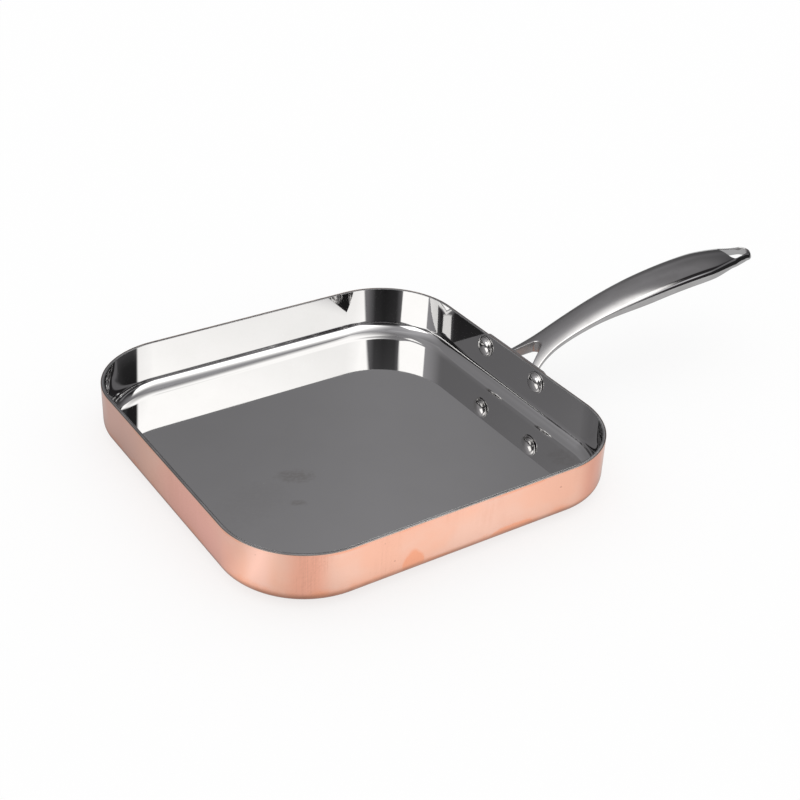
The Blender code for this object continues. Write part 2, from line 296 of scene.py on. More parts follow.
def roundedOutline(corners, radii, steps=16):
    # a closed outline with each of its corners turned to an arc
    points = []
    for i, corner in enumerate(corners):
        corner = np.array(corner, float)
        back = np.array(corners[i - 1]) - corner
        ahead = np.array(corners[(i + 1) % len(corners)]) - corner
        back, ahead = back / np.linalg.norm(back), ahead / np.linalg.norm(ahead)
        halfAngle = math.acos(float(np.clip(back @ ahead, -1, 1))) / 2
        middle = back + ahead
        centre = corner + middle / np.linalg.norm(middle) * radii[i] / math.sin(halfAngle)
        first = corner + back * radii[i] / math.tan(halfAngle) - centre
        last = corner + ahead * radii[i] / math.tan(halfAngle) - centre
        sweep = math.pi - 2 * halfAngle
        for k in range(steps + 1):
            t = k / steps
            spoke = math.sin((1 - t) * sweep) * first + math.sin(t * sweep) * last
            points.append(centre + spoke / math.sin(sweep))
    return np.array(points)


def outlineDistance(outline, x, y):
    # how far each point lies from a closed outline, less than nothing inside it
    a = outline
    b = np.roll(outline, -1, axis=0)
    best = np.full(len(x), 1e9)
    inside = np.zeros(len(x), bool)
    for (ax, ay), (bx, by) in zip(a, b):
        ex, ey = bx - ax, by - ay
        length = ex * ex + ey * ey
        if length < 1e-12:
            continue
        t = np.clip(((x - ax) * ex + (y - ay) * ey) / length, 0, 1)
        best = np.minimum(best, (x - ax - t * ex) ** 2 + (y - ay - t * ey) ** 2)
        if ay != by:
            inside ^= ((ay > y) != (by > y)) & (x < ex * (y - ay) / ey + ax)
    return np.where(inside, -1, 1) * np.sqrt(best)


def halfWidthAt(x):
    return float(np.interp(x, tableX, tableWidth))


forkFoot = grip["foot"] - grip["forkArm"]
forkOutline = roundedOutline([(grip["wall"] + grip["forkApex"], 0.0), (grip["flangeOut"], forkFoot),
                              (grip["flangeOut"], -forkFoot)],
                             [grip["forkApexRadius"], grip["forkFootRadius"], grip["forkFootRadius"]])
holeNear, holeFar = grip["tip"] - grip["holeFromTip"], grip["tip"] - grip["holeNoseWall"]
nearHalf = halfWidthAt(holeNear) - grip["holeSideWall"]
farHalf = halfWidthAt(holeFar) - grip["holeSideWall"]
holeOutline = roundedOutline([(holeNear, -nearHalf), (holeFar, -farHalf),
                              (holeFar, farHalf), (holeNear, nearHalf)],
                             [grip["holeNearRadius"], grip["holeNoseRadius"],
                              grip["holeNoseRadius"], grip["holeNearRadius"]])


def creaseHeight(x):
    return np.interp(x, crease[:, 0], crease[:, 1]) + fromTip(grip["loopRise"], x)


def topHeight(x, y):
    width = np.interp(x, tableX, tableWidth)
    crown = grip["crown"] * width
    arc = (width ** 2 + crown ** 2) / (2 * crown)
    leastShare = 0.04      # holds the dome up past the sides, where it has no height of its own
    return creaseHeight(x) + np.sqrt(np.maximum(arc ** 2 - y ** 2, leastShare * arc ** 2)) - (arc - crown)


def hollowHeight(x, y):
    width = np.interp(x, tableX, tableWidth)
    rim = width - np.minimum(grip["hollowRim"], width / 3)
    t = np.clip((rim - np.abs(y)) / grip["hollowShoulder"], 0, 1)
    return fromTip(grip["hollow"], x) * t * t * (3 - 2 * t)


def underHeight(x, y):
    width = np.interp(x, tableX, tableWidth)
    full = fromTip(grip["belly"], x) * np.maximum(1 - (y / width) ** 2, 0)
    return creaseHeight(x) - fromTip(grip["edges"], x) + hollowHeight(x, y) - full


def sloped(height, x, y):
    # a height and how steep it is there
    step, steepest = 0.05, 3
    slopeX = (height(x + step, y) - height(x - step, y)) / (2 * step)
    slopeY = (height(x, y + step) - height(x, y - step)) / (2 * step)
    most = steepest ** 2
    return height(x, y), np.sqrt(1 + np.minimum(slopeX ** 2, most) + np.minimum(slopeY ** 2, most))


def handleForm(p):
    # less than nothing inside the casting, about the distance to its skin near it
    x, y, z = p.T
    top, topSteep = sloped(topHeight, x, y)
    under, underSteep = sloped(underHeight, x, y)
    slope = np.interp(x, tableX, tableSlope)
    side = (np.abs(y) - np.interp(x, tableX, tableWidth)) / np.sqrt(1 + slope ** 2)
    nose = np.hypot(x - noseCentre, y) - grip["noseRadius"]
    side = np.where(x > noseJoins, nose, side)
    form = roundMax((z - top) / topSteep, side, fromTip(grip["creaseRound"], x))
    form = roundMax(form, (under - z) / underSteep, fromTip(grip["underRound"], x))
    middle = (grip["flangeIn"] + grip["flangeOut"]) / 2
    form = np.maximum(form, middle - x)
    forkEnd, spare = grip["wall"] + grip["forkApex"], 6
    cuts = ((forkOutline, grip["wall"], forkEnd + spare, grip["forkRound"]),
            (holeOutline, holeNear - spare, grip["tip"] + spare, grip["holeRound"]))
    for outline, low, high, soft in cuts:
        near = (x > low) & (x < high)
        away = np.full(len(x), farInside)
        away[near] = -outlineDistance(outline, x[near], y[near])
        form = roundMax(form, away, soft)
    slab = np.abs(x - middle) - (grip["flangeOut"] - grip["flangeIn"]) / 2
    halfSpacing = grip["rivetSpacing"] / 2
    rise = z - grip["rivetHeight"]
    stadium = np.hypot(y - np.clip(y, -halfSpacing, halfSpacing), rise) - grip["flangeHeight"] / 2
    form = roundMin(form, roundMax(slab, stadium, grip["flangeEdge"]), grip["filletFlange"])
    toRivet = np.hypot(np.abs(y) - halfSpacing, rise)
    bore = np.where(x < grip["flangeOut"] + 3, grip["rivetHole"] - toRivet, farInside)
    form = roundMax(form, bore, grip["rivetHoleRound"])
    return np.maximum(form, grip["flangeIn"] - x)


def formSlope(p, step=0.02):
    slope = np.empty_like(p)
    for axis in range(3):
        shift = np.zeros(3)
        shift[axis] = step
        slope[:, axis] = (handleForm(p + shift) - handleForm(p - shift)) / (2 * step)
    return slope


def formGrid(step):
    # the form's value at the points of an even grid that holds the casting
    spare = grip["clearance"]
    reach = (grip["rivetSpacing"] + grip["flangeHeight"]) / 2 + spare
    lowest = crease[:, 1].min() - grip["edges"][0][1] - grip["belly"][0][1]
    low = np.array((grip["flangeIn"] - spare, -reach, lowest - spare))
    highest = crease[:, 1].max() + grip["crown"] * tableWidth.max()
    high = np.array((grip["tip"] + spare, reach, highest + spare))
    count = np.ceil((high - low) / step).astype(int)
    x, y, z = (low[axis] + step * np.arange(count[axis]) for axis in range(3))
    form = np.ones(count)
    for i, along in enumerate(x):
        flange = along < grip["flangeOut"] + grip["filletFlange"] + spare
        wide = reach if flange else halfWidthAt(along) + spare
        middle = np.flatnonzero(np.abs(y) < wide)
        across, up = np.meshgrid(y[middle], z, indexing="ij")
        spots = np.stack((np.full(across.size, along), across.ravel(), up.ravel()), 1)
        form[i, middle] = handleForm(spots).reshape(across.shape)
    return form, low


def netOver(form, low, step):
    # a point in each cell that the skin crosses, and a face round each crossed edge
    inside = form < 0
    cells = np.array(form.shape) - 1
    corners = [np.array((i, j, k)) for i in (0, 1) for j in (0, 1) for k in (0, 1)]

    def seen(values, i, j, k):
        return values[i:i + cells[0], j:j + cells[1], k:k + cells[2]]

    full = sum(seen(inside, *corner).astype(int) for corner in corners)
    crossed = (full > 0) & (full < len(corners))
    number = np.full(crossed.shape, -1)
    number[crossed] = np.arange(crossed.sum())
    at = np.argwhere(crossed)
    total, hits = np.zeros(at.shape), np.zeros(len(at))
    faces = []
    axes = np.eye(3, dtype=int)
    for axis, ahead in enumerate(axes):
        for corner in corners:
            if corner[axis]:
                continue
            a, b = form[tuple((at + corner).T)], form[tuple((at + corner + ahead).T)]
            cut = (a < 0) != (b < 0)
            t = np.where(cut, a / np.where(cut, a - b, 1), 0)
            total += (at + corner + t[:, None] * ahead) * cut[:, None]
            hits += cut
        over, up = axes[(axis + 1) % 3], axes[(axis + 2) % 3]
        here, there = seen(inside, 0, 0, 0), seen(np.roll(inside, -1, axis), 0, 0, 0)
        for outward, edge in ((True, here & ~there), (False, there & ~here)):
            start = np.argwhere(edge)
            quad = [number[tuple((start - shift).T)] for shift in (over + up, up, 0 * up, over)]
            faces.append(np.stack(quad if outward else quad[::-1], 1))
    return low + step * total / hits[:, None], np.concatenate(faces)


def drawOnto(p, rounds):
    # moves each point straight onto the skin
    longest, leastSlope = 0.6, 0.05
    for _ in range(rounds):
        slope = formSlope(p)
        size = np.maximum((slope ** 2).sum(1), leastSlope)
        move = -(handleForm(p) / size)[:, None] * slope
        reach = np.linalg.norm(move, axis=1, keepdims=True)
        p = p + move * np.minimum(1, longest / np.maximum(reach, 1e-9))
    return p


def unit(vectors):
    return vectors / np.maximum(np.linalg.norm(vectors, axis=1, keepdims=True), 1e-6)


def makeHandle():
    p, faces = netOver(*formGrid(grip["netStep"]), grip["netStep"])
    edges = np.concatenate([faces[:, (k, (k + 1) % 4)] for k in range(4)])
    edges = np.unique(np.sort(edges, axis=1), axis=0)
    first, second = np.concatenate((edges, edges[:, ::-1])).T
    neighbours = np.bincount(first, minlength=len(p))[:, None]
    p = drawOnto(p, 3)
    for _ in range(grip["smoothRounds"]):
        # each point slides along the skin towards the middle of its neighbours
        around = np.stack([np.bincount(first, p[second, k], len(p)) for k in range(3)], 1) / neighbours
        out = unit(formSlope(p))
        pull = around - p
        pull -= (pull * out).sum(1, keepdims=True) * out
        p = drawOnto(p + grip["smoothShare"] * pull, 2)
    p = drawOnto(p, 3)
    return newPiece("castHandle", p, faces.tolist(), unit(formSlope(p, 0.05)))


castHandle = makeHandle()
print("handle made:", len(castHandle.data.vertices), "points")


rivet = {
    "headRadius": 7.5,
    "headRise": 3.1,
    "ringHeight": 0.6,
    "ringWidth": 0.9,
    "ringRound": 0.36,
    "shankRadius": 3.2,
    "tailRadius": 5.5,
    "tailRise": 1.6,
    "gap": 0.3,
    "steps": 96,
    "arcSteps": 24,
    "ringSteps": 4,
    "sharpFrom": math.radians(40),
}


def rivetProfile():
    # radius and place along the rivet, from the tail outside to the head inside
    tailSeat = grip["flangeOut"] - grip["wall"] + rivet["gap"]
    sheet = pan["copper"] + pan["core"] + pan["liner"] + 2 * pan["layerGap"]
    headSeat = -sheet - rivet["gap"]
    ringFace = headSeat - rivet["ringHeight"]
    steps = rivet["arcSteps"]
    points = []
    for k in range(steps + 1):
        turn = (1 - k / steps) * math.pi / 2
        points.append((rivet["tailRadius"] * math.cos(turn), tailSeat + rivet["tailRise"] * math.sin(turn)))
    points += [(rivet["shankRadius"], tailSeat), (rivet["shankRadius"], headSeat)]
    points.append((rivet["headRadius"], headSeat))
    for k in range(rivet["ringSteps"] + 1):
        turn = k / rivet["ringSteps"] * math.pi / 2
        points.append((rivet["headRadius"] - rivet["ringRound"] * (1 - math.cos(turn)),
                       ringFace + rivet["ringRound"] * (1 - math.sin(turn))))
    dome = rivet["headRadius"] - rivet["ringWidth"]
    for k in range(steps + 1):
        turn = k / steps * math.pi / 2
        points.append((dome * math.cos(turn), ringFace - rivet["headRise"] * math.sin(turn)))
    return points


def makeRivet(name, y):
    bm = bmesh.new()
    spots = [bm.verts.new((r * mm, 0, a * mm)) for r, a in rivetProfile()]
    for first, second in zip(spots, spots[1:]):
        bm.edges.new((first, second))
    bmesh.ops.spin(bm, geom=bm.verts[:] + bm.edges[:], cent=(0, 0, 0), axis=(0, 0, 1),
                   angle=2 * math.pi, steps=rivet["steps"], use_merge=True)
    bmesh.ops.remove_doubles(bm, verts=bm.verts, dist=1e-6)
    bmesh.ops.recalc_face_normals(bm, faces=bm.faces)
    bmesh.ops.rotate(bm, verts=bm.verts, cent=(0, 0, 0), matrix=Matrix.Rotation(math.pi / 2, 3, "Y"))
    bmesh.ops.translate(bm, verts=bm.verts, vec=(grip["wall"] * mm, y * mm, grip["rivetHeight"] * mm))
    mesh = bpy.data.meshes.new(name)
    bm.to_mesh(mesh)
    bm.free()
    mesh.shade_smooth()
    mesh.set_sharp_from_angle(angle=rivet["sharpFrom"])
    return placeInScene(name, mesh)


rivetLeft = makeRivet("rivetLeft", grip["rivetSpacing"] / 2)
rivetRight = makeRivet("rivetRight", -grip["rivetSpacing"] / 2)
print("rivets made")


def addNode(tree, kind, **settings):
    node = tree.nodes.new("ShaderNode" + kind)
    for key, value in settings.items():
        setattr(node, key, value)
    return node


def feed(tree, source, target):
    # a socket's output or a plain number into an input
    if isinstance(source, (int, float)):
        target.default_value = source
    else:
        tree.links.new(source, target)


def mathNode(tree, operation, first, second):
    node = addNode(tree, "Math", operation=operation)
    feed(tree, first, node.inputs[0])
    feed(tree, second, node.inputs[1])
    return node.outputs[0]


def times(tree, first, second):
    return mathNode(tree, "MULTIPLY", first, second)


def plus(tree, first, second):
    return mathNode(tree, "ADD", first, second)


def placed(tree, size, turn=(0, 0, 0), at=(0, 0, 0)):
    # the object's own coordinates, counted in steps of the given size in millimetres
    mapping = addNode(tree, "Mapping", vector_type="TEXTURE")
    tree.links.new(addNode(tree, "TexCoord").outputs["Object"], mapping.inputs["Vector"])
    mapping.inputs["Location"].default_value = [value * mm for value in at]
    mapping.inputs["Rotation"].default_value = [math.radians(value) for value in turn]
    mapping.inputs["Scale"].default_value = [value * mm for value in size]
    return mapping.outputs[0]


def grain(tree, size, turn=(0, 0, 0), at=(0, 0, 0), detail=2.0):
    # noise with lumps of about the given size in millimetres
    node = addNode(tree, "TexNoise")
    node.inputs["Scale"].default_value = 1.0
    node.inputs["Detail"].default_value = detail
    node.inputs["Roughness"].default_value = 0.5
    tree.links.new(placed(tree, size, turn, at), node.inputs["Vector"])
    return node.outputs["Fac"]


def spread(tree, value, low, high, first=0.0, last=1.0):
    # eases from the first value to the last while the input goes from low to high
    node = addNode(tree, "MapRange", interpolation_type="SMOOTHSTEP")
    feed(tree, value, node.inputs["Value"])
    for name, setting in (("From Min", low), ("From Max", high), ("To Min", first), ("To Max", last)):
        node.inputs[name].default_value = setting
    return node.outputs["Result"]


def tinted(tree, share, first, second):
    # a blend of two colours, each a plain colour or another blend
    node = addNode(tree, "Mix", data_type="RGBA")
    feed(tree, share, node.inputs[0])
    for source, target in ((first, node.inputs[6]), (second, node.inputs[7])):
        if isinstance(source, tuple):
            target.default_value = (*source, 1.0)
        else:
            tree.links.new(source, target)
    return node.outputs[2]


def placeOn(tree, axis):
    # the place along one of the object's axes in millimetres
    split = addNode(tree, "SeparateXYZ")
    tree.links.new(placed(tree, (1, 1, 1)), split.inputs[0])
    return split.outputs[axis]


def field(tree, at, size, heart=0.25):
    # a smooth cloud, full at its heart and gone at the given half sizes
    length = addNode(tree, "VectorMath", operation="LENGTH")
    tree.links.new(placed(tree, size, at=at), length.inputs[0])
    return spread(tree, length.outputs["Value"], heart, 1.0, 1.0, 0.0)


def patch(tree, at, size, turn=0.0, ragged=0.5, edge=0.12, grainSize=6.0):
    # a stain of about the given half sizes, with an uneven edge
    length = addNode(tree, "VectorMath", operation="LENGTH")
    tree.links.new(placed(tree, size, (0, 0, turn), at), length.inputs[0])
    wobble = times(tree, grain(tree, (grainSize,) * 3, at=at, detail=3.0), ragged)
    away = plus(tree, length.outputs["Value"], wobble)
    return spread(tree, away, 1 + ragged / 2 - edge, 1 + ragged / 2 + edge, 1.0, 0.0)


def specks(tree, spacing, radius):
    # scattered pits, each about the given radius in millimetres
    node = addNode(tree, "TexVoronoi")
    node.inputs["Scale"].default_value = 1.0
    tree.links.new(placed(tree, (spacing,) * 3), node.inputs["Vector"])
    return spread(tree, node.outputs["Distance"], radius * 0.5 / spacing, radius * 1.3 / spacing, 1.0, 0.0)


def relief(tree, shader, height, depth):
    # fine bumps, with the depth in millimetres
    bump = addNode(tree, "Bump")
    bump.inputs["Strength"].default_value = 1.0
    bump.inputs["Distance"].default_value = depth * mm
    tree.links.new(height, bump.inputs["Height"])
    tree.links.new(bump.outputs["Normal"], shader.inputs["Normal"])


def coat(tree, shader, colour, rough):
    tree.links.new(colour, shader.inputs["Base Color"])
    tree.links.new(rough, shader.inputs["Roughness"])


def newMetal(name):
    material = bpy.data.materials.new(name)
    material.use_nodes = True
    shader = material.node_tree.nodes["Principled BSDF"]
    shader.inputs["Metallic"].default_value = 1.0
    return material, material.node_tree, shader


copperFinish = {
    "colour": (0.93, 0.515, 0.38),
    "pale": (0.912, 0.56, 0.442),
    "orange": (0.92, 0.405, 0.25),
    "line": (0.80, 0.40, 0.29),
    "pit": (0.38, 0.19, 0.13),
    "rim": (0.52, 0.42, 0.37),
    "mottle": (40.0, 40.0, 26.0),
    # painted reflection: broad clouds of another tint, each where a wall mirrors a darker, paler or warmer
    # stretch of floor: colour, place, half sizes and strength
    "clouds": [((0.81, 0.475, 0.39), (-130, 78, 20), (40, 80, 80), 0.9),
               ((0.945, 0.45, 0.365), (-132, -42, 14), (40, 66, 70), 0.9),
               ((0.93, 0.57, 0.465), (-122, -105, 16), (11, 11, 60), 0.9),
               ((0.94, 0.45, 0.32), (-101, -123, 16), (16, 16, 60), 0.85),
               ((0.87, 0.395, 0.275), (98, -126, 18), (19, 19, 60), 0.9)],
    # warmer under the rim, and along the foot a painted reflection of the floor close under it: heights where
    # it begins and is full, size of its lumps
    "underRim": (33.8, 35.2),
    "underRimLumps": (18.0, 18.0, 5.0),
    "foot": (20.0, 12.5),
    "footReflectionShare": 0.92,
    "footReflectionLumps": (13.0, 13.0, 13.0),
    "footReflectionRagged": 14.0,
    # painted reflection: orange patches low on the front wall, like the orange along the foot: place and half
    # sizes
    "footReflectionPatches": [((-36.6, -130.0, 7.0), (7.6, 9.0, 11.5)), ((-20.0, -130.0, 4.0), (14.0, 9.0, 5.0)),
               ((34.0, -130.0, 4.5), (22.0, 9.0, 7.0))],
    "footPatchShare": 0.95,
    "footPatchLumps": 9.0,
    "pits": [((67.4, -130.0, 25.7), 0.75), ((84.4, -130.0, 24.1), 0.6), ((-49.4, -130.0, 16.3), 0.6)],
    "smallPits": (12.0, 0.35),           # how far apart and how wide
    "pitShare": 0.6,
    # polishing lines: upright and slanting ones, and the sweep of the cloth
    "lines": (0.75, 0.75, 26.0),
    "lineFields": (30.0, 30.0, 60.0),
    "slant": (0.8, 0.8, 22.0),
    "slantTurn": (38.0, 38.0, 0.0),
    "sweepAt": (-130.0, 22.0, 2.0),
    "sweepStep": 1.9,
    "sweepScale": 0.314,
    "sweepField": ((-130.0, -8.0, 24.0), (40.0, 24.0, 14.0)),
    "lineShares": (0.6, 0.4, 0.4),
    "lineTint": 0.36,
    "brushed": ((-99.0, -123.0, 16.0), (21.0, 21.0, 60.0)),      # where the lines show most
    "brushedTint": 0.6,
    "lineDepth": 0.0022,
    "roughness": (0.18, 0.24),
    "paleRougher": 0.04,
    "rimFrom": (35.62, 35.80),
    "rimRoughness": 0.30,
}


def copperLines(tree, finish):
    upright = times(tree, grain(tree, finish["lines"]),
                    spread(tree, grain(tree, finish["lineFields"], at=(9, 4, 0)), 0.40, 0.62, 0.25, 1.0))
    slant = grain(tree, finish["slant"], turn=finish["slantTurn"], at=(1, 2, 3))
    sweep = addNode(tree, "TexWave", wave_type="RINGS", rings_direction="SPHERICAL")
    for name, value in (("Scale", finish["sweepScale"]), ("Distortion", 1.5), ("Detail", 2.0),
                        ("Detail Scale", 0.6)):
        sweep.inputs[name].default_value = value
    steps = placed(tree, (finish["sweepStep"],) * 3, at=finish["sweepAt"])
    tree.links.new(steps, sweep.inputs["Vector"])
    arcs = times(tree, sweep.outputs["Fac"], field(tree, *finish["sweepField"], 0.3))
    uprightShare, slantShare, arcShare = finish["lineShares"]
    lines = plus(tree, times(tree, upright, uprightShare), times(tree, slant, slantShare))
    return plus(tree, lines, times(tree, arcs, arcShare))


def copperMaterial():
    finish = copperFinish
    material, tree, shader = newMetal("satinCopper")
    height = placeOn(tree, "Z")
    mottle = spread(tree, grain(tree, finish["mottle"], detail=3.0), 0.36, 0.66)
    colour = tinted(tree, mottle, finish["colour"], finish["pale"])
    # the clouds paint reflections of the floor into the copper's colour
    for tint, at, size, strength in finish["clouds"]:
        colour = tinted(tree, times(tree, field(tree, at, size), strength), colour, tint)
    warm = times(tree, spread(tree, height, *finish["underRim"]),
                 spread(tree, grain(tree, finish["underRimLumps"]), 0.42, 0.6, 0.1, 0.75))
    # the orange along the foot is a painted reflection of the floor close under it
    uneven = times(tree, grain(tree, finish["footReflectionLumps"], at=(3, 5, 7), detail=3.0), finish["footReflectionRagged"])
    foot = spread(tree, plus(tree, height, uneven), *finish["foot"], 0.0, finish["footReflectionShare"])
    warm = mathNode(tree, "MAXIMUM", warm, foot)
    # orange patches low on the front wall, painted reflection like the foot
    for at, size in finish["footReflectionPatches"]:
        footPatch = times(tree, patch(tree, at, size, grainSize=finish["footPatchLumps"]), finish["footPatchShare"])
        warm = mathNode(tree, "MAXIMUM", warm, footPatch)
    colour = tinted(tree, warm, colour, finish["orange"])
    lines = copperLines(tree, finish)
    brushed = times(tree, field(tree, *finish["brushed"]), finish["brushedTint"])
    shown = times(tree, spread(tree, lines, 0.34, 0.70), plus(tree, brushed, finish["lineTint"]))
    colour = tinted(tree, shown, colour, finish["line"])
    pits = specks(tree, *finish["smallPits"])
    for at, radius in finish["pits"]:
        pits = mathNode(tree, "MAXIMUM", pits, field(tree, at, (radius,) * 3, 0.4))
    colour = tinted(tree, times(tree, pits, finish["pitShare"]), colour, finish["pit"])
    rim = spread(tree, height, *finish["rimFrom"])
    colour = tinted(tree, rim, colour, finish["rim"])
    rough = plus(tree, spread(tree, lines, 0.3, 0.7, *finish["roughness"]),
                 spread(tree, mottle, 0.0, 1.0, 0.0, finish["paleRougher"]))
    rough = mathNode(tree, "MINIMUM", rough, spread(tree, rim, 0.0, 1.0, 0.9, finish["rimRoughness"]))
    coat(tree, shader, colour, rough)
    relief(tree, shader, mathNode(tree, "SUBTRACT", lines, pits), finish["lineDepth"])
    return material


aluminiumFinish = {
    "colour": (0.62, 0.62, 0.62),
    "dark": (0.44, 0.44, 0.44),
    "grain": (30.0, 30.0, 30.0),
    "roughness": (0.30, 0.38),
}


def aluminiumMaterial():
    finish = aluminiumFinish
    material, tree, shader = newMetal("cutAluminium")
    cut = spread(tree, grain(tree, finish["grain"], detail=3.0), 0.36, 0.62)
    coat(tree, shader, tinted(tree, cut, finish["dark"], finish["colour"]),
         spread(tree, cut, 0.0, 1.0, *finish["roughness"]))
    return material


steelFinish = {
    "colour": (0.637, 0.634, 0.634),
    "cloudy": (0.628, 0.625, 0.624),
    "clouds": (34.0, 34.0, 34.0),
    "smudgeAndReflection": (0.46, 0.44, 0.42),
    # dull marks, smudges apart from the third, which is a painted reflection of a darker part of the wall:
    # place, half sizes, turn and strength
    "smudgesAndReflection": [((-46.4, -12.9, 2.3), (10.5, 6.0, 4.0), -30.0, 0.62),
                ((-59.0, -38.4, 2.3), (5.2, 2.6, 3.0), -30.0, 0.6),
                # painted reflection of a darker part of the wall, not a smudge
                ((112.0, -80.0, 3.0), (7.5, 9.5, 5.0), 0.0, 0.40),
                ((-84.0, -26.0, 2.3), (26.0, 15.0, 6.0), 25.0, 0.13)],
    "markLumps": 5.0,
    "markGrain": (3.0, 2.0, 3.0),
    "markRougher": 0.05,
    "dust": (0.86, 0.86, 0.86),
    "dustSpots": (13.0, 0.35),
    "dustShare": 0.5,
    "roughness": (0.018, 0.035),
    "rim": (0.46, 0.46, 0.46),
    "rimFrom": (35.7, 35.85),
    "rimRoughness": 0.26,
    "wave": 30.0,
    "waveDepth": 0.010,
}


def mirrorMaterial():
    finish = steelFinish
    material, tree, shader = newMetal("mirrorSteel")
    cloud = spread(tree, grain(tree, finish["clouds"], detail=4.0), 0.38, 0.64)
    colour = tinted(tree, cloud, finish["colour"], finish["cloudy"])
    smudgeAndReflection = 0.0
    # smudges darken the steel, and so does one painted reflection of a darker part of the wall
    for at, size, turn, strength in finish["smudgesAndReflection"]:
        mark = patch(tree, at, size, turn, ragged=1.5, edge=0.45, grainSize=finish["markLumps"])
        uneven = grain(tree, finish["markGrain"], at=at, detail=3.0)
        mark = times(tree, mark, spread(tree, uneven, 0.32, 0.60, 0.3, 1.0))
        smudgeAndReflection = mathNode(tree, "MAXIMUM", smudgeAndReflection, times(tree, mark, strength))
    colour = tinted(tree, smudgeAndReflection, colour, finish["smudgeAndReflection"])
    dust = times(tree, specks(tree, *finish["dustSpots"]), finish["dustShare"])
    colour = tinted(tree, dust, colour, finish["dust"])
    rim = spread(tree, placeOn(tree, "Z"), *finish["rimFrom"])
    colour = tinted(tree, rim, colour, finish["rim"])
    rough = plus(tree, spread(tree, cloud, 0.0, 1.0, *finish["roughness"]),
                 times(tree, smudgeAndReflection, finish["markRougher"]))
    rough = mathNode(tree, "MAXIMUM", rough, times(tree, rim, finish["rimRoughness"]))
    coat(tree, shader, colour, rough)
    relief(tree, shader, grain(tree, (finish["wave"],) * 3, detail=1.0), finish["waveDepth"])
    return material


castFinish = {
    "colour": (0.56, 0.552, 0.552),
    "dark": (0.512, 0.504, 0.502),
    "clouds": (18.0, 12.0, 12.0),
    "tip": (0.49, 0.49, 0.495),
    "tipFrom": (292.0, 312.0),
    "tipShare": 0.6,
    "speck": (0.25, 0.24, 0.23),
    "speckSpots": (5.5, 0.2),
    "speckShare": 0.45,
    "neckRoughness": (0.19, 0.27),
    "tipRoughness": (0.03, 0.055),       # the end of the handle is polished brighter
    "polishedFrom": (205.0, 282.0),
    "grain": (0.9, 0.9, 0.9),
    "grainDepth": 0.004,
    "ripple": 12.0,
    "rippleDepth": 0.02,
}


def castMaterial():
    finish = castFinish
    material, tree, shader = newMetal("satinCastSteel")
    along = placeOn(tree, "X")
    cloud = spread(tree, grain(tree, finish["clouds"], detail=4.0), 0.36, 0.64)
    colour = tinted(tree, cloud, finish["colour"], finish["dark"])
    tip = spread(tree, along, *finish["tipFrom"], 0.0, finish["tipShare"])
    colour = tinted(tree, tip, colour, finish["tip"])
    pores = times(tree, specks(tree, *finish["speckSpots"]), finish["speckShare"])
    colour = tinted(tree, pores, colour, finish["speck"])
    polished = spread(tree, along, *finish["polishedFrom"])
    satin = spread(tree, cloud, 0.0, 1.0, *finish["neckRoughness"])
    bright = spread(tree, cloud, 0.0, 1.0, *finish["tipRoughness"])
    rough = plus(tree, times(tree, bright, polished),
                 times(tree, satin, mathNode(tree, "SUBTRACT", 1.0, polished)))
    coat(tree, shader, colour, rough)
    ripple = grain(tree, (finish["ripple"],) * 3, detail=1.0)
    fine = times(tree, grain(tree, finish["grain"]), finish["grainDepth"] / finish["rippleDepth"])
    relief(tree, shader, plus(tree, ripple, fine), finish["rippleDepth"])
    return material


rivetFinish = {
    "colour": (0.70, 0.69, 0.685),
    "dark": (0.62, 0.61, 0.60),
    "clouds": (3.5, 3.5, 3.5),
    "roughness": (0.06, 0.12),
    "ripple": (2.5, 2.5, 2.5),
    "rippleDepth": 0.006,
}


def rivetMaterial():
    finish = rivetFinish
    material, tree, shader = newMetal("brightSteel")
    cloud = spread(tree, grain(tree, finish["clouds"], detail=4.0), 0.36, 0.64)
    coat(tree, shader, tinted(tree, cloud, finish["colour"], finish["dark"]),
         spread(tree, cloud, 0.0, 1.0, *finish["roughness"]))
    relief(tree, shader, grain(tree, finish["ripple"]), finish["rippleDepth"])
    return material


rivetMetal = rivetMaterial()
for piece, material, node, slot in ((copperShell, copperMaterial(), "copper_shell", "copper"),
                                    (aluminiumCore, aluminiumMaterial(), "aluminium_core", "aluminium"),
                                    (steelLiner, mirrorMaterial(), "steel_liner", "polished_steel"),
                                    (castHandle, castMaterial(), "handle", "cast_steel"),
                                    (rivetLeft, rivetMetal, "rivet_left", "polished_steel"),
                                    (rivetRight, rivetMetal, "rivet_right", "polished_steel")):
    piece.data.materials.append(material)
    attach(piece, "root")
    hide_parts(node)
print("finishes made")

